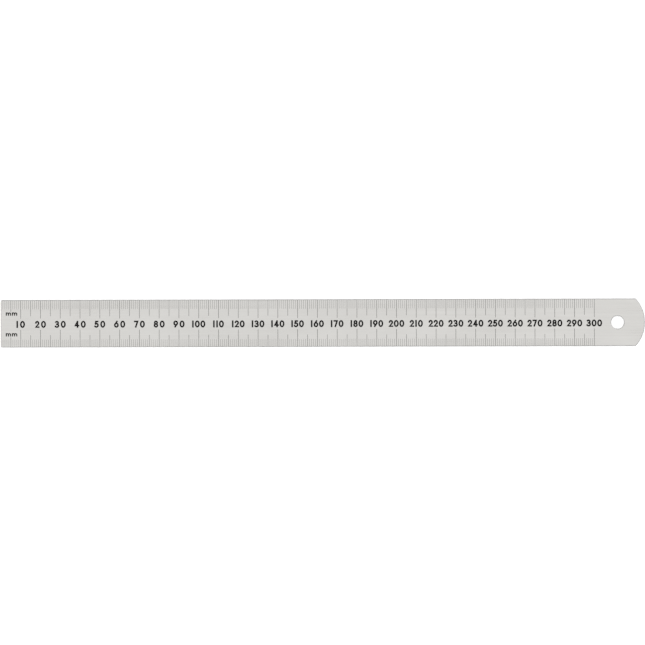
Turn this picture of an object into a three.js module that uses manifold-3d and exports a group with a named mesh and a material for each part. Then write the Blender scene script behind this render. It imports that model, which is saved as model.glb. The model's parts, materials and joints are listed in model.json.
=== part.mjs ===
// A 300 mm steel rule: one spring-steel blade with a hanging hole, graduated in millimetres along
// both long edges, with the figures 10 to 300 in a row between the two scales.
// Frame: millimetres, +X from the zero end to the rounded end, +Y to the upper edge, +Z out of the
// graduated face. The origin is in the middle of the back face.
import * as THREE from "three";
import { mergeVertices } from "three/addons/utils/BufferGeometryUtils.js";
import Module from "manifold-3d";

const wasm = await Module();
wasm.setup();

// The blade
const SCALE_LENGTH = 300;
const LENGTH = 325.5;
const WIDTH = 23.8;
const THICKNESS = 1;
const END_RADIUS = 18; // of the rounded end, wider than half the blade, so its corners stay
const CORNER_RADIUS = 0.4; // of the four corners
const EDGE_ROUND = 0.2; // radius of the rounded outer edges and of the hole's rims
const HOLE_RADIUS = 3.35;
const HOLE_FROM_ZERO = 311.8;

// The black filling of the graduations, a thin layer on the face
const FILL = 0.02;
const JOIN = 0.04; // width of the hairline that holds the strokes of one filling together
const UPPER = { edge: 1, every: 4.6, five: 8.1, ten: 9.3, besideUnit: 5.95 };
const LOWER = { edge: -1, every: 3.85, five: 6.1, ten: 8.8, besideUnit: 5.1 };
const LINE_WIDTH = { every: 0.09, five: 0.15, ten: 0.17 };

// The figures, drawn with a pen of constant width
const FIGURE = { height: 3.55, pen: 0.8, baseline: -2.1, gap: 0.32, spread: 0.45 };
const UNIT = { height: 1.65, pen: 0.54, gap: 0.4, fromZero: 2.45 };
const UNIT_BASELINES = { upper: 4.1, lower: -6.4 };
const SHARPEST = 0.6; // cosine of half the turn beyond which a corner's mitre grows no more

const PEN_STEP = 30; // degrees between the points of an arc in a figure
const HOLE_STEP = 15;
const END_STEP = 6;
const ROUND_STEPS = 2; // facets across a rounded edge
const SAME_POINT = 1e-4; // vertices closer than this are one

const ZERO_X = -LENGTH / 2;
const STEEL = new THREE.MeshStandardMaterial({ color: 0xd6d5d1, roughness: 0.35, metalness: 1 });
const BLACK = new THREE.MeshStandardMaterial({ color: 0x161616, roughness: 0.5, metalness: 0 });

// Points along an elliptical arc, in degrees anticlockwise from +X.
function arc(x, y, radiusX, radiusY, from, to, step = PEN_STEP) {
  const steps = Math.ceil(Math.abs(to - from) / step);
  return Array.from({ length: steps + 1 }, (_, i) => {
    const angle = THREE.MathUtils.degToRad(from + ((to - from) * i) / steps);
    return [x + radiusX * Math.cos(angle), y + radiusY * Math.sin(angle)];
  });
}

// Each glyph is the path of the pen's middle in a box one wide and one high: open strokes, and rings
// given as [x, y, radius X, radius Y]. foot is where it meets the baseline, and side is the room left
// beside it where that isn't half the usual gap.
const GLYPHS = {
  0: { width: 2.5, foot: 0.5, rings: [[0.5, 0.5, 0.5, 0.5]] },
  1: { width: 0.8, foot: 0.5, side: 0.4, strokes: [[[0.5, 0], [0.5, 1]]] },
  2: { width: 2.25, foot: 0.5, strokes: [[...arc(0.48, 0.7, 0.48, 0.3, 165, -35), [0, 0], [1, 0]]] },
  3: {
    width: 2.25,
    foot: 0.5,
    strokes: [arc(0.44, 0.75, 0.46, 0.25, 140, -90), arc(0.44, 0.26, 0.56, 0.26, 90, -145)],
  },
  4: { width: 2.5, foot: 0.7, strokes: [[[0.7, 0], [0.7, 1]], [[0.66, 0.94], [0.04, 0.26], [1, 0.26]]] },
  5: {
    width: 2.2,
    foot: 0.45,
    strokes: [[[0.88, 1], [0.24, 1], [0.14, 0.55]], arc(0.4, 0.32, 0.6, 0.32, 118, -142)],
  },
  6: { width: 2.4, foot: 0.5, rings: [[0.5, 0.33, 0.5, 0.33]], strokes: [[[0.68, 1], [0.1, 0.5]]] },
  7: { width: 2.25, foot: 0.36, strokes: [[[0, 1], [1, 1], [0.36, 0]]] },
  8: { width: 2.3, foot: 0.5, rings: [[0.5, 0.76, 0.42, 0.24], [0.5, 0.26, 0.5, 0.26]] },
  9: { width: 2.4, foot: 0.34, rings: [[0.5, 0.67, 0.5, 0.33]], strokes: [[[0.32, 0], [0.9, 0.5]]] },
  m: {
    width: 2.7,
    foot: 0,
    strokes: [
      [[0, 0], [0, 1]],
      [...arc(0.25, 0.6, 0.25, 0.4, 180, 0), [0.5, 0]],
      [...arc(0.75, 0.6, 0.25, 0.4, 180, 0), [1, 0]],
    ],
  },
};

function solidOf(geometry) {
  const bare = geometry.index ? geometry.toNonIndexed() : geometry.clone();
  bare.deleteAttribute("normal");
  bare.deleteAttribute("uv");
  const merged = mergeVertices(bare, SAME_POINT);
  const triVerts = new Uint32Array(merged.index.array);
  const vertProperties = merged.attributes.position.array;
  return new wasm.Manifold(new wasm.Mesh({ numProp: 3, vertProperties, triVerts }));
}

function geometryOf(solid) {
  const { vertProperties, triVerts } = solid.getMesh();
  return new THREE.BufferGeometry()
    .setAttribute("position", new THREE.BufferAttribute(vertProperties, 3))
    .setIndex(new THREE.BufferAttribute(triVerts, 1));
}

function outlineShape(points) {
  return new THREE.Shape(points.map(([x, y]) => new THREE.Vector2(x, y)));
}

// A flat layer of filling on the blade's face.
function layer(shape) {
  return new THREE.ExtrudeGeometry(shape, { depth: FILL, bevelEnabled: false });
}

// The outline of an open stroke: mitred at its corners, squared off half a pen beyond its ends.
function strokeShape(points, pen) {
  const path = points.map(([x, y]) => new THREE.Vector2(x, y));
  const last = path.length - 1;
  const ways = path.slice(1).map((point, i) => point.clone().sub(path[i]).normalize());
  const left = [];
  const right = [];
  path.forEach((point, i) => {
    const incoming = ways[Math.max(i - 1, 0)];
    const outgoing = ways[Math.min(i, last - 1)];
    const along = incoming.clone().add(outgoing).normalize();
    const reach = pen / 2 / Math.max(along.dot(outgoing), SHARPEST);
    const side = new THREE.Vector2(-along.y, along.x).multiplyScalar(reach);
    const cap = along.clone().multiplyScalar(i === 0 ? -pen / 2 : i === last ? pen / 2 : 0);
    left.push(point.clone().add(cap).add(side));
    right.push(point.clone().add(cap).sub(side));
  });
  return new THREE.Shape([...left, ...right.reverse()]);
}

function ringShape(x, y, radiusX, radiusY, pen) {
  const loop = (grow) => arc(x, y, radiusX + grow, radiusY + grow, 0, 360 - PEN_STEP);
  const ring = outlineShape(loop(pen / 2));
  ring.holes.push(outlineShape(loop(-pen / 2)));
  return ring;
}

// One glyph's filling, with the left end of its baseline at (x, y).
function glyphLayers({ width, strokes = [], rings = [] }, x, y, { height, pen }) {
  const spanX = width - pen;
  const spanY = height - pen;
  const left = x + pen / 2;
  const low = y + pen / 2;
  const place = ([u, v]) => [left + u * spanX, low + v * spanY];
  return [
    ...strokes.map((points) => strokeShape(points.map(place), pen)),
    ...rings.map(([u, v, a, b]) => ringShape(...place([u, v]), a * spanX, b * spanY, pen)),
  ].map(layer);
}

// Where the glyphs of a word stand, from the left of the first, and how wide the word is.
function wordLayout(text, style, tracking = 0) {
  const room = (glyph) => glyph.side ?? style.gap / 2;
  const places = [];
  let end = 0;
  for (const letter of text) {
    const glyph = GLYPHS[letter];
    const x = places.length ? end + room(glyph) + tracking : 0;
    places.push({ glyph, x });
    end = x + glyph.width + room(glyph);
  }
  const last = places.at(-1);
  return { places, width: last.x + last.glyph.width };
}

// A word as one closed body: its glyphs, with a hairline through their feet.
function wordGeometry({ places }, left, baseline, style) {
  const layers = places.flatMap(({ glyph, x }) => glyphLayers(glyph, left + x, baseline, style));
  const feet = [places.at(0), places.at(-1)].map(({ glyph, x }) => [
    left + x + style.pen / 2 + glyph.foot * (glyph.width - style.pen),
    baseline + style.pen / 2,
  ]);
  layers.push(layer(strokeShape(feet, JOIN)));
  return geometryOf(layers.map(solidOf).reduce((whole, piece) => whole.add(piece)));
}

// The blade: a flat bar, square at zero, rounded and pierced for hanging at the other end.
function bladeGeometry() {
  const cornerY = WIDTH / 2 - CORNER_RADIUS;
  const endX = LENGTH / 2 - END_RADIUS;
  const cornerX = endX + Math.sqrt((END_RADIUS - CORNER_RADIUS) ** 2 - cornerY ** 2);
  const turn = THREE.MathUtils.radToDeg(Math.atan2(cornerY, cornerX - endX));
  const upperHalf = [
    ...arc(endX, 0, END_RADIUS, END_RADIUS, 0, turn, END_STEP).slice(0, -1),
    ...arc(cornerX, cornerY, CORNER_RADIUS, CORNER_RADIUS, turn, 90),
    ...arc(ZERO_X + CORNER_RADIUS, cornerY, CORNER_RADIUS, CORNER_RADIUS, 90, 180),
  ];
  const lowerHalf = upperHalf.slice(1).reverse().map(([x, y]) => [x, -y]);
  const outline = outlineShape([...upperHalf, ...lowerHalf]);
  const holeX = ZERO_X + HOLE_FROM_ZERO;
  const hole = arc(holeX, 0, HOLE_RADIUS, HOLE_RADIUS, 0, 360 - HOLE_STEP, HOLE_STEP);
  outline.holes.push(outlineShape(hole));
  const blade = new THREE.ExtrudeGeometry(outline, {
    depth: THICKNESS - 2 * EDGE_ROUND,
    bevelThickness: EDGE_ROUND,
    bevelSize: EDGE_ROUND,
    bevelOffset: -EDGE_ROUND,
    bevelSegments: ROUND_STEPS,
  });
  return blade.translate(0, 0, EDGE_ROUND);
}

// One scale: a line at every millimetre, longer at the fives and tens, joined along the blade's edge.
// The line at 5 is shorter, to clear the unit mark.
function scaleGeometry(scale) {
  const rim = scale.edge * (WIDTH / 2 - EDGE_ROUND);
  const root = rim - scale.edge * JOIN;
  const outline = [];
  for (let reading = 1; reading <= SCALE_LENGTH; reading++) {
    const kind = reading % 10 === 0 ? "ten" : reading % 5 === 0 ? "five" : "every";
    const long = reading === 5 ? scale.besideUnit : scale[kind];
    const tip = scale.edge * (WIDTH / 2 - long);
    const from = ZERO_X + reading - LINE_WIDTH[kind] / 2;
    const to = from + LINE_WIDTH[kind];
    outline.push([from, root], [from, tip], [to, tip], [to, root]);
  }
  outline[0][1] = rim;
  outline.at(-1)[1] = rim;
  return layer(outlineShape(outline));
}

const rule = new THREE.Group();

function addPiece(name, geometry, material, z) {
  const piece = new THREE.Mesh(geometry, material);
  piece.name = name;
  piece.position.z = z;
  rule.add(piece);
}

addPiece("blade", bladeGeometry(), STEEL, 0);
addPiece("upper_scale", scaleGeometry(UPPER), BLACK, THICKNESS);
addPiece("lower_scale", scaleGeometry(LOWER), BLACK, THICKNESS);

const unit = wordLayout("mm", UNIT);
for (const [name, baseline] of Object.entries(UNIT_BASELINES)) {
  const mark = wordGeometry(unit, ZERO_X + UNIT.fromZero, baseline, UNIT);
  addPiece(`unit_mark_${name}`, mark, BLACK, THICKNESS);
}

// Each number is centred on its line. Numbers of two figures are spread a little wider.
for (let reading = 10; reading <= SCALE_LENGTH; reading += 10) {
  const text = String(reading);
  const word = wordLayout(text, FIGURE, text.length === 2 ? FIGURE.spread : 0);
  const left = ZERO_X + reading - word.width / 2;
  const number = wordGeometry(word, left, FIGURE.baseline, FIGURE);
  addPiece(`figure_${text}`, number, BLACK, THICKNESS);
}

export default rule;
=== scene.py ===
"""The looks of a 300 mm steel rule: a satin steel blade with etched graduations, each filled with black.

Shapes are drawn in millimetres in the rule's own frame and turned into metres when a mesh is made:
+X runs from the zero end to the rounded end, +Y to the upper edge, and +Z out of the graduated face.
"""
import json
import math

import bpy
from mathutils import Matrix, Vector
from mathutils.geometry import delaunay_2d_cdt


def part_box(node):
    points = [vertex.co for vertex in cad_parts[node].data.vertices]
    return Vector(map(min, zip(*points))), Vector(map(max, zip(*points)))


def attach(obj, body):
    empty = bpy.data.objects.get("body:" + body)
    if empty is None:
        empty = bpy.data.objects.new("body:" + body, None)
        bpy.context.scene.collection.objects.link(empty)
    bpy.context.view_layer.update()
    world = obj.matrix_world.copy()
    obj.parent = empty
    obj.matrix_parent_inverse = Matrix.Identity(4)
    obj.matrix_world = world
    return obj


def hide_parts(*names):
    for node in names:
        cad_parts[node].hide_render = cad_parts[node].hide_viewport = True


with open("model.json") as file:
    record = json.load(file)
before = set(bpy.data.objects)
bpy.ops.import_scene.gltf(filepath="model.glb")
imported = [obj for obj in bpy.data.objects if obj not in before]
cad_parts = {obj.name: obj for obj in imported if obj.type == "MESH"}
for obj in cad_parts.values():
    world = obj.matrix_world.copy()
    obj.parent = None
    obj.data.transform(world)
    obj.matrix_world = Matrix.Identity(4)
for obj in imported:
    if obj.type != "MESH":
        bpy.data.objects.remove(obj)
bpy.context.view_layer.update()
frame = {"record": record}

# ---------------------------------------------------------------- sizes, in millimetres
MM = 0.001  # in metres
blade_low, blade_high = (Vector(corner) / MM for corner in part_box("blade"))
hole = frame["record"]["physics"]["openings"][0]
hole_low, hole_high = (Vector(corner) / MM for corner in hole["box_m"])
ZERO_X = blade_low.x
TIP_X = blade_high.x
HALF_WIDTH = blade_high.y
TOP = blade_high.z
HOLE_X = (hole_low.x + hole_high.x) / 2

SCALE_LENGTH = 300
END_RADIUS = 18.0  # of the rounded end
CORNER_RADIUS = 0.4
HOLE_RADIUS = 3.35
EDGE_ROUND = 0.2  # radius of the broken edges
HOLE_ROUND = 0.15
LAND = 0.03  # steel left between the end of a line and the broken edge

UPPER = {"side": 1, "every": 4.6, "five": 8.1, "ten": 9.3, "beside_unit": 5.95}
LOWER = {"side": -1, "every": 3.85, "five": 6.1, "ten": 8.8, "beside_unit": 5.1}
LINE_WIDTH = {"every": 0.09, "five": 0.15, "ten": 0.17}

# The figures, drawn with a pen of constant width. spread is an extra gap in the numbers of two figures.
FIGURE = {"height": 3.55, "pen": 0.8, "baseline": -2.1, "gap": 0.32, "spread": 0.45}
UNIT = {"height": 1.65, "pen": 0.54, "gap": 0.4, "from_zero": 2.45}
UNIT_BASELINES = {"upper": 4.1, "lower": -6.4}
SHARPEST = 0.6  # cosine of half the turn beyond which a corner's mitre grows no more

ETCH_DEPTH = 0.03
ETCH_SLOPE = 0.02  # how far the wall of an etched mark leans inwards on its way down
LEAN_LIMIT = 0.5  # cosine of half the turn beyond which a corner of that wall leans no further
HAIRPIN = 0.25  # the same, for a corner so sharp that it doesn't lean at all
FILL_SUNK = 0.25  # how far below the face the black filling ends, as a share of the depth

ARC_STEP = 7.5  # degrees between the points of an arc
END_STEP = 2.0
ROUND_STEPS = 4  # facets across a broken edge
SAME_POINT = 1e-5  # points of a plan closer than this are one
INSIDE_LOOPS = 1  # asks the cut of a plan for the triangles inside its loops, and no others


# ---------------------------------------------------------------- plan shapes
def arc(x, y, radius_x, radius_y, start, stop, step=ARC_STEP):
    """Points along an elliptical arc, in degrees anticlockwise from +X."""
    steps = math.ceil(abs(stop - start) / step)
    angles = (math.radians(start + (stop - start) * i / steps) for i in range(steps + 1))
    return [(x + radius_x * math.cos(a), y + radius_y * math.sin(a)) for a in angles]


def blade_outline(inset):
    """The blade's outline, drawn inwards by inset: rounded at one end, with four small corners."""
    corner_y = HALF_WIDTH - CORNER_RADIUS
    end_x = TIP_X - END_RADIUS
    corner_x = end_x + math.sqrt((END_RADIUS - CORNER_RADIUS) ** 2 - corner_y ** 2)
    turn = math.degrees(math.atan2(corner_y, corner_x - end_x))
    big, small = END_RADIUS - inset, CORNER_RADIUS - inset
    upper_half = [
        *arc(end_x, 0, big, big, 0, turn, END_STEP)[:-1],
        *arc(corner_x, corner_y, small, small, turn, 90),
        *arc(ZERO_X + CORNER_RADIUS, corner_y, small, small, 90, 180),
    ]
    return upper_half + [(x, -y) for x, y in reversed(upper_half[1:])]


def hole_outline(inset):
    radius = HOLE_RADIUS + inset
    return arc(HOLE_X, 0, radius, radius, 0, 360)[:-1]


def stroke_outline(points, pen):
    """An open stroke of the pen: mitred at its corners, squared off half a pen beyond its ends."""
    path = [Vector(point) for point in points]
    ways = [(after - before).normalized() for before, after in zip(path, path[1:])]
    left, right = [], []
    for i, point in enumerate(path):
        incoming, outgoing = ways[max(i - 1, 0)], ways[min(i, len(ways) - 1)]
        along = (incoming + outgoing).normalized()
        reach = pen / 2 / max(along.dot(outgoing), SHARPEST)
        if i == 0:
            point = point - along * pen / 2
        if i == len(path) - 1:
            point = point + along * pen / 2
        side = Vector((-along.y, along.x)) * reach
        left.append(point + side)
        right.append(point - side)
    return right + left[::-1]


def ring_outlines(x, y, radius_x, radius_y, pen):
    """A closed ring of the pen, as a loop of four-sided pieces."""
    inner = arc(x, y, radius_x - pen / 2, radius_y - pen / 2, 0, 360)
    outer = arc(x, y, radius_x + pen / 2, radius_y + pen / 2, 0, 360)
    return [[inner[i], outer[i], outer[i + 1], inner[i + 1]] for i in range(len(inner) - 1)]


# Each glyph is the path of the pen's middle in a box one wide and one high: open strokes, and rings
# given as (x, y, radius x, radius y). side is the room beside it where that isn't half the usual gap.
GLYPHS = {
    "0": {"width": 2.5, "rings": [(0.5, 0.5, 0.5, 0.5)]},
    "1": {"width": 0.8, "side": 0.4, "strokes": [[(0.5, 0), (0.5, 1)]]},
    "2": {"width": 2.25, "strokes": [[*arc(0.48, 0.7, 0.48, 0.3, 165, -35), (0, 0), (1, 0)]]},
    "3": {"width": 2.25, "strokes": [arc(0.44, 0.75, 0.46, 0.25, 140, -90),
                                     arc(0.44, 0.26, 0.56, 0.26, 90, -145)]},
    "4": {"width": 2.5, "strokes": [[(0.7, 0), (0.7, 1)],
                                     [(0.66, 0.94), (0.04, 0.26), (1, 0.26)]]},
    "5": {"width": 2.2, "strokes": [[(0.88, 1), (0.24, 1), (0.14, 0.55)],
                                     arc(0.4, 0.32, 0.6, 0.32, 118, -142)]},
    "6": {"width": 2.4, "rings": [(0.5, 0.33, 0.5, 0.33)], "strokes": [[(0.68, 1), (0.1, 0.5)]]},
    "7": {"width": 2.25, "strokes": [[(0, 1), (1, 1), (0.36, 0)]]},
    "8": {"width": 2.3, "rings": [(0.5, 0.76, 0.42, 0.24), (0.5, 0.26, 0.5, 0.26)]},
    "9": {"width": 2.4, "rings": [(0.5, 0.67, 0.5, 0.33)], "strokes": [[(0.32, 0), (0.9, 0.5)]]},
    "m": {"width": 2.7, "strokes": [[(0, 0), (0, 1)],
                                    [*arc(0.25, 0.6, 0.25, 0.4, 180, 0), (0.5, 0)],
                                    [*arc(0.75, 0.6, 0.25, 0.4, 180, 0), (1, 0)]]},
}


def glyph_outlines(glyph, left, baseline, style):
    """The outlines of one glyph whose baseline starts at (left, baseline)."""
    pen = style["pen"]
    span_x, span_y = glyph["width"] - pen, style["height"] - pen

    def place(point):
        return (left + pen / 2 + point[0] * span_x, baseline + pen / 2 + point[1] * span_y)

    outlines = [stroke_outline([place(p) for p in stroke], pen) for stroke in glyph.get("strokes", [])]
    for x, y, radius_x, radius_y in glyph.get("rings", []):
        outlines += ring_outlines(*place((x, y)), radius_x * span_x, radius_y * span_y, pen)
    return outlines


def word_layout(text, style, spread=0.0):
    """Each glyph of a word with its start, from the left of the first, and the width of the word."""
    places, end = [], 0.0
    for letter in text:
        glyph = GLYPHS[letter]
        room = glyph.get("side", style["gap"] / 2)
        start = end + (room + spread) if places else 0.0
        places.append((glyph, start))
        width = start + glyph["width"]
        end = width + room
    return places, width


def word_outlines(places, left, baseline, style):
    outlines = []
    for glyph, start in places:
        outlines += glyph_outlines(glyph, left + start, baseline, style)
    return outlines


def scale_outlines(scale):
    """The lines of one scale, longer at the fives and tens, and cut short where the unit mark stands."""
    side = scale["side"]
    rim = side * (HALF_WIDTH - EDGE_ROUND - LAND)
    lines = []
    for reading in range(1, SCALE_LENGTH + 1):
        kind = "ten" if reading % 10 == 0 else "five" if reading % 5 == 0 else "every"
        length = scale["beside_unit"] if reading == 5 else scale[kind]
        tip = side * (HALF_WIDTH - length)
        x, half = ZERO_X + reading, LINE_WIDTH[kind] / 2
        lines.append([(x - half, tip), (x + half, tip), (x + half, rim), (x - half, rim)])
    return lines


def all_marks():
    """Each mark's piece name and CAD node, with its outlines."""
    marks = {
        ("upper_lines", "upper_scale"): scale_outlines(UPPER),
        ("lower_lines", "lower_scale"): scale_outlines(LOWER),
    }
    unit, _ = word_layout("mm", UNIT)
    for place, baseline in UNIT_BASELINES.items():
        names = (f"unit_{place}", f"unit_mark_{place}")
        marks[names] = word_outlines(unit, ZERO_X + UNIT["from_zero"], baseline, UNIT)
    for reading in range(10, SCALE_LENGTH + 1, 10):
        text = str(reading)
        number, width = word_layout(text, FIGURE, FIGURE["spread"] if len(text) == 2 else 0.0)
        left = ZERO_X + reading - width / 2
        names = (f"number_{text}", f"figure_{text}")
        marks[names] = word_outlines(number, left, FIGURE["baseline"], FIGURE)
    return marks


# ---------------------------------------------------------------- meshes
def anticlockwise(outline):
    area = sum(a[0] * b[1] - b[0] * a[1] for a, b in zip(outline, [*outline[1:], outline[0]]))
    return outline if area > 0 else outline[::-1]


class Plan:
    """A flat side of the blade, cut into triangles along the outlines of the marks on it.

    points are its corners. steel holds the triangles of bare steel, and marks those of each mark.
    """

    def __init__(self, marks):
        corners, loops, owners = [], [], []
        shapes = [("steel", blade_outline(EDGE_ROUND)), ("hole", hole_outline(HOLE_ROUND))]
        shapes += [(name, outline) for name, outlines in marks.items() for outline in outlines]
        for name, outline in shapes:
            loops.append(list(range(len(corners), len(corners) + len(outline))))
            corners += [Vector(point) for point in anticlockwise(outline)]
            owners.append(name)
        cut = delaunay_2d_cdt(corners, [], loops, INSIDE_LOOPS, SAME_POINT)
        self.points, _, triangles, _, _, enclosing = cut
        self.steel, self.marks = [], {name: [] for name in marks}
        for triangle, inside in zip(triangles, enclosing):
            names = {owners[i] for i in inside} - {"steel"}
            if not names:
                self.steel.append(triangle)
            elif names != {"hole"}:
                self.marks[names.pop()].append(triangle)


def border(triangles):
    """The directed edges round a set of anticlockwise triangles."""
    edges = {(t[i], t[(i + 1) % 3]) for t in triangles for i in range(3)}
    return [edge for edge in edges if edge[::-1] not in edges]


def leaning(points, edges):
    """How each corner on a mark's border moves inwards for each millimetre that the wall leans."""
    ways = {a: (points[b] - points[a]).normalized() for a, b in edges}
    moves = {}
    for a, b in edges:
        if b in ways:
            before, after = ways[a], ways[b]
            bisector = Vector((-before.y - after.y, before.x + after.x))
            if bisector.length > 2 * HAIRPIN:
                bisector.normalize()
                normal = Vector((-after.y, after.x))
                moves[b] = bisector / max(bisector.dot(normal), LEAN_LIMIT)
    return moves


def at_depth(point, move, share):
    """A corner of a mark at a share of the etched depth, in millimetres."""
    flat = point + move * (ETCH_SLOPE * share) if move is not None else point
    return (flat.x, flat.y, TOP - ETCH_DEPTH * share)


class Builder:
    """Collects the corners and faces of one mesh."""

    def __init__(self):
        self.corners, self.faces, self.slots, self.smooth = [], [], [], []

    def corner(self, place):
        """Adds a corner, rounded as the plan's points are, so that stretches made apart still meet."""
        self.corners.append(Vector(place) * MM)
        return len(self.corners) - 1

    def face(self, corners, slot=0, smooth=False):
        self.faces.append(corners)
        self.slots.append(slot)
        self.smooth.append(smooth)

    def make(self, name, materials):
        mesh = bpy.data.meshes.new(name)
        mesh.from_pydata(self.corners, [], self.faces)
        for material in materials:
            mesh.materials.append(material)
        mesh.polygons.foreach_set("material_index", self.slots)
        mesh.polygons.foreach_set("use_smooth", self.smooth)
        mesh.update()
        piece = bpy.data.objects.new(name, mesh)
        bpy.context.scene.collection.objects.link(piece)
        return piece


FACE_SLOT, RIM_SLOT, WALL_SLOT, ETCHED_SLOT = range(4)


def rounded_profile(radius):
    """(inset, height) down one side: a rounded edge at the top, the wall, and one at the bottom."""
    turns = [math.pi / 2 * i / ROUND_STEPS for i in range(ROUND_STEPS + 1)]
    upper = [(radius * (1 - math.sin(a)), TOP - radius * (1 - math.cos(a))) for a in turns]
    return upper + [(inset, TOP - height) for inset, height in reversed(upper)]


def add_wall(build, outline, radius, outwards):
    """The wall round an outline, between its two rounded edges.

    It shares no corners with the face or the back, so a texture can be laid on each of them alone.
    """
    rings = [[build.corner((x, y, height)) for x, y in outline(inset)]
             for inset, height in rounded_profile(radius)]
    for step, (upper, lower) in enumerate(zip(rings, rings[1:])):
        slot = WALL_SLOT if step == ROUND_STEPS else RIM_SLOT
        for i in range(len(lower)):
            j = (i + 1) % len(lower)
            quad = [upper[i], lower[i], lower[j], upper[j]]
            build.face(quad if outwards else quad[::-1], slot, smooth=True)


def add_back(build):
    """The plain back, which has no marks."""
    plan = Plan({})
    corners = [build.corner((point.x, point.y, 0)) for point in plan.points]
    for triangle in plan.steel:
        build.face([corners[i] for i in reversed(triangle)], FACE_SLOT)


def make_blade(plan, materials):
    """The steel: its face with every mark etched into it, rounded edges, the hole and the back."""
    build = Builder()
    face = [build.corner((point.x, point.y, TOP)) for point in plan.points]
    for triangle in plan.steel:
        build.face([face[i] for i in triangle], FACE_SLOT)
    for triangles in plan.marks.values():
        edges = border(triangles)
        moves = leaning(plan.points, edges)
        used = {i for triangle in triangles for i in triangle}
        floor = {i: build.corner(at_depth(plan.points[i], moves.get(i), 1)) for i in used}
        for triangle in triangles:
            build.face([floor[i] for i in triangle], ETCHED_SLOT)
        for a, b in edges:
            build.face([face[a], face[b], floor[b], floor[a]], ETCHED_SLOT)
    add_wall(build, blade_outline, EDGE_ROUND, outwards=True)
    add_wall(build, hole_outline, HOLE_ROUND, outwards=False)
    add_back(build)
    return build.make("steel_blade", materials)


def make_filling(name, points, triangles, material):
    """The black filling of one mark: a closed solid that lies in the etched recess."""
    build = Builder()
    edges = border(triangles)
    moves = leaning(points, edges)
    used = sorted({i for triangle in triangles for i in triangle})
    top = {i: build.corner(at_depth(points[i], moves.get(i), FILL_SUNK)) for i in used}
    floor = {i: build.corner(at_depth(points[i], moves.get(i), 1)) for i in used}
    for triangle in triangles:
        build.face([top[i] for i in triangle])
        build.face([floor[i] for i in reversed(triangle)])
    for a, b in edges:
        build.face([floor[a], floor[b], top[b], top[a]])
    return build.make(name, [material])


# ---------------------------------------------------------------- materials
BUMP_HEIGHT = 0.00001  # metres, of the finest relief


def set_stops(ramp, stops):
    """Gives a colour ramp its (position, colour) stops."""
    points = ramp.color_ramp.elements
    for position, _ in stops[1:-1]:
        points.new(position)
    for point, (position, colour) in zip(points, stops):
        point.position = position
        point.color = (*colour, 1.0)


class Nodes:
    """A material's node tree, with one call for each node and its inputs."""

    def __init__(self, name):
        self.material = bpy.data.materials.new(name)
        self.material.use_nodes = True
        self.tree = self.material.node_tree
        self.tree.nodes.clear()

    def add(self, kind, inputs=None, **settings):
        node = self.tree.nodes.new("ShaderNode" + kind)
        for key, value in settings.items():
            setattr(node, key, value)
        for key, value in (inputs or {}).items():
            if isinstance(value, bpy.types.NodeSocket):
                self.tree.links.new(value, node.inputs[key])
            else:
                node.inputs[key].default_value = value
        return node

    def stretched(self, scale, detail=3.0, turn=0.0):
        """Noise in the part's own frame, with so many features a metre along X, Y and Z."""
        place = self.add("TexCoord").outputs["Object"]
        turned = self.add("Mapping", {"Vector": place, "Rotation": (0, 0, turn), "Scale": scale})
        noise = self.add("TexNoise", {"Vector": turned.outputs[0], "Scale": 1.0, "Detail": detail})
        return noise.outputs["Fac"]

    def ramp(self, value, stops):
        node = self.add("ValToRGB", {"Fac": value})
        set_stops(node, stops)
        return node.outputs["Color"]

    def spread(self, value, low, high, start=0.3, stop=0.7):
        """Maps a noise value onto the range from low to high."""
        node = self.add("MapRange", {"Value": value, "From Min": start, "From Max": stop,
                                     "To Min": low, "To Max": high})
        return node.outputs["Result"]

    def sum(self, first, second):
        return self.add("Math", {0: first, 1: second}, operation="ADD").outputs[0]

    def finish(self, shader):
        output = self.add("OutputMaterial")
        self.tree.links.new(shader.outputs[0], output.inputs["Surface"])
        return self.material


def satin_steel():
    """Stainless steel with a satin grain along the blade, faint smears and a few hairline scratches."""
    nodes = Nodes("satin_steel")
    grain = nodes.stretched((14, 2600, 2600), detail=4)
    fine_grain = nodes.stretched((60, 9000, 9000), detail=2)
    smears = nodes.stretched((28, 60, 60), detail=4)
    scratches = nodes.stretched((26, 4200, 4200), detail=1, turn=math.radians(3))
    ridges = {"start": 0.7, "stop": 0.76}  # the highest of that noise, which alone are scratches
    lines = nodes.sum(nodes.spread(grain, 0.0, 0.3), nodes.spread(fine_grain, 0.0, 0.4))
    shade = nodes.sum(lines, nodes.spread(smears, 0.0, 0.3))
    colour = nodes.ramp(shade, [(0.0, (0.560, 0.549, 0.529)), (0.5, (0.600, 0.591, 0.571)),
                                (1.0, (0.640, 0.632, 0.614))])
    rough = nodes.sum(nodes.spread(grain, 0.27, 0.33), nodes.spread(smears, -0.03, 0.05))
    scored = nodes.spread(scratches, 0.0, 0.06, **ridges)
    height = nodes.sum(nodes.spread(fine_grain, 0.0, 1.0), nodes.spread(scratches, 0.0, -0.6, **ridges))
    bump = nodes.add("Bump", {"Height": height, "Strength": 0.25, "Distance": BUMP_HEIGHT})
    tangent = nodes.add("Tangent", direction_type="RADIAL", axis="X")
    return nodes.finish(nodes.add("BsdfPrincipled", {
        "Base Color": colour, "Metallic": 1.0, "Roughness": nodes.sum(rough, scored),
        "Anisotropic": 0.45, "Normal": bump.outputs[0], "Tangent": tangent.outputs[0]}))


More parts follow.
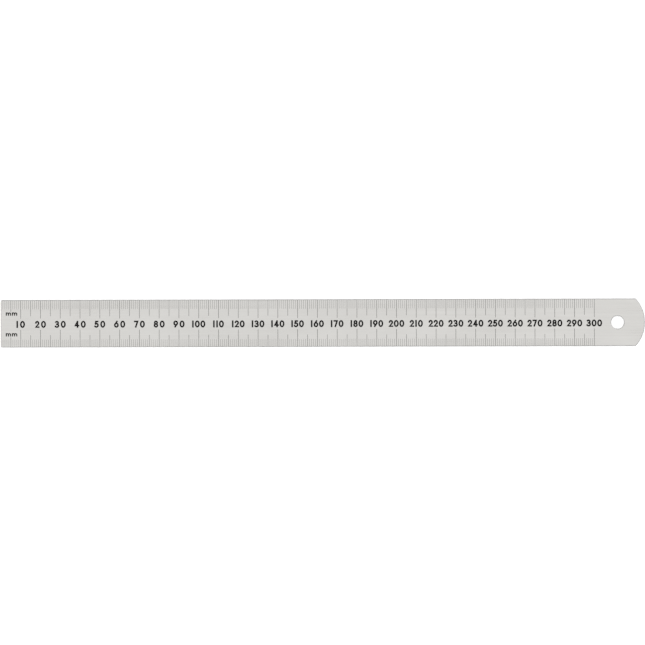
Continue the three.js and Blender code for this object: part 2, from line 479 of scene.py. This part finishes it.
def ground_steel(name, dark, light):
    """Steel of the cut edges, with short marks across the blade's thickness, coloured from dark to
    light: the marks are the steel's own, but both tones are darker than the face's, painted shade for
    the dark surroundings that these edges reflect.
    """
    nodes = Nodes(name)
    marks = nodes.stretched((5200, 5200, 260), detail=3)
    wear = nodes.stretched((90, 90, 90), detail=3)
    # painted shade: dark and light are set below the face's steel tone, so the edges read darker under
    # any lamp
    colour = nodes.ramp(marks, [(0.3, dark), (0.7, light)])
    rough = nodes.sum(nodes.spread(marks, 0.26, 0.36), nodes.spread(wear, -0.05, 0.05))
    bump = nodes.add("Bump", {"Height": marks, "Strength": 0.2, "Distance": BUMP_HEIGHT})
    return nodes.finish(nodes.add("BsdfPrincipled", {
        "Base Color": colour, "Metallic": 1.0, "Roughness": rough, "Normal": bump.outputs[0]}))


def black_filling():
    """Black paint wiped into the etching: nearly black, slightly uneven, with dull specks."""
    nodes = Nodes("black_filling")
    specks = nodes.stretched((7000, 7000, 7000), detail=4)
    patches = nodes.stretched((500, 500, 500), detail=3)
    shade = nodes.sum(nodes.spread(specks, 0.0, 0.5), nodes.spread(patches, 0.0, 0.5))
    colour = nodes.ramp(shade, [(0.0, (0.0015, 0.0015, 0.0018)), (1.0, (0.007, 0.0068, 0.0065))])
    bump = nodes.add("Bump", {"Height": specks, "Strength": 0.25, "Distance": BUMP_HEIGHT})
    return nodes.finish(nodes.add("BsdfPrincipled", {
        "Base Color": colour, "Roughness": nodes.spread(patches, 0.48, 0.66),
        "Specular IOR Level": 0.06, "Normal": bump.outputs[0]}))


# ---------------------------------------------------------------- studio
VIEW_WIDTH = 326.1  # millimetres of the rule's face that the picture spans
LENS = 200.0  # millimetres, as the sensor's width
SENSOR = 36.0
CAMERA_OFFSET = (-0.17, 0.26)  # the middle of the picture, from the middle of the rule
CAMERA_ROLL = -0.15  # degrees

FLOOR_SIZE = 6.0  # metres from its middle to each side
FLOOR_BELOW = 0.00002  # metres below the rule's back
SKY = [(0.0, 0.68), (0.35, 0.75), (0.75, 0.93), (1.0, 1.06)]  # (height, light), from level to zenith
SKY_STRENGTH = 1.04
SOFTBOX_SIZE = 1.2  # metres
SOFTBOXES = {"left": ((-1.3, -0.7, 1.1), 20), "right": ((1.2, 0.9, 1.2), 18)}  # place and watts


def add_camera():
    data = bpy.data.cameras.new("camera")
    data.lens, data.sensor_width = LENS, SENSOR
    camera = bpy.data.objects.new("camera", data)
    height = TOP + VIEW_WIDTH * LENS / SENSOR
    camera.location = (CAMERA_OFFSET[0] * MM, CAMERA_OFFSET[1] * MM, height * MM)
    camera.rotation_euler = (0, 0, math.radians(CAMERA_ROLL))
    bpy.context.scene.collection.objects.link(camera)
    bpy.context.scene.camera = camera


def add_softboxes():
    """Square area lights that face the rule."""
    for side, (place, watts) in SOFTBOXES.items():
        name = f"softbox_{side}"
        data = bpy.data.lights.new(name, "AREA")
        data.size, data.energy = SOFTBOX_SIZE, watts
        light = bpy.data.objects.new(name, data)
        light.location = place
        light.rotation_euler = (-Vector(place)).to_track_quat("-Z", "Y").to_euler()
        bpy.context.scene.collection.objects.link(light)


def add_floor():
    signs = [(-1, -1), (1, -1), (1, 1), (-1, 1)]
    corners = [(x * FLOOR_SIZE, y * FLOOR_SIZE, -FLOOR_BELOW) for x, y in signs]
    mesh = bpy.data.meshes.new("floor")
    mesh.from_pydata(corners, [], [(0, 1, 2, 3)])
    floor = bpy.data.objects.new("floor", mesh)
    nodes = Nodes("floor_white")
    floor.data.materials.append(nodes.finish(nodes.add("BsdfPrincipled", {
        "Base Color": (0.93, 0.93, 0.93, 1.0), "Roughness": 0.9, "Specular IOR Level": 0.0})))
    bpy.context.scene.collection.objects.link(floor)


def add_sky():
    """Soft light from all round, brightest straight above."""
    world = bpy.data.worlds.new("studio")
    world.use_nodes = True
    bpy.context.scene.world = world
    tree = world.node_tree
    place = tree.nodes.new("ShaderNodeTexCoord")
    split = tree.nodes.new("ShaderNodeSeparateXYZ")
    ramp = tree.nodes.new("ShaderNodeValToRGB")
    tree.links.new(place.outputs["Generated"], split.inputs[0])
    tree.links.new(split.outputs["Z"], ramp.inputs["Fac"])
    tree.links.new(ramp.outputs["Color"], tree.nodes["Background"].inputs["Color"])
    set_stops(ramp, [(height, (light, light, light)) for height, light in SKY])
    tree.nodes["Background"].inputs["Strength"].default_value = SKY_STRENGTH


# ---------------------------------------------------------------- the scene
add_camera()
add_sky()
add_floor()
add_softboxes()

marks = all_marks()
plan = Plan(marks)

# painted shade: the rounded edges are coloured nearly black and the wall mid grey, standing in for the
# dark surroundings these edges reflect; the rim darkest, as the dark outline round the rule
rim_steel_painted_shade = ground_steel("rim_steel_painted_shade", (0.15, 0.147, 0.142), (0.22, 0.216, 0.210))
wall_steel_painted_shade = ground_steel("wall_steel_painted_shade", (0.34, 0.336, 0.326), (0.46, 0.455, 0.445))
paint = black_filling()
blade = make_blade(plan, [satin_steel(), rim_steel_painted_shade, wall_steel_painted_shade, paint])
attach(blade, "root")
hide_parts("blade")

for (name, node), triangles in plan.marks.items():
    filling = make_filling(name, plan.points, triangles, paint)
    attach(filling, "root")
    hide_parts(node)

bpy.context.scene.view_settings.view_transform = "Standard"
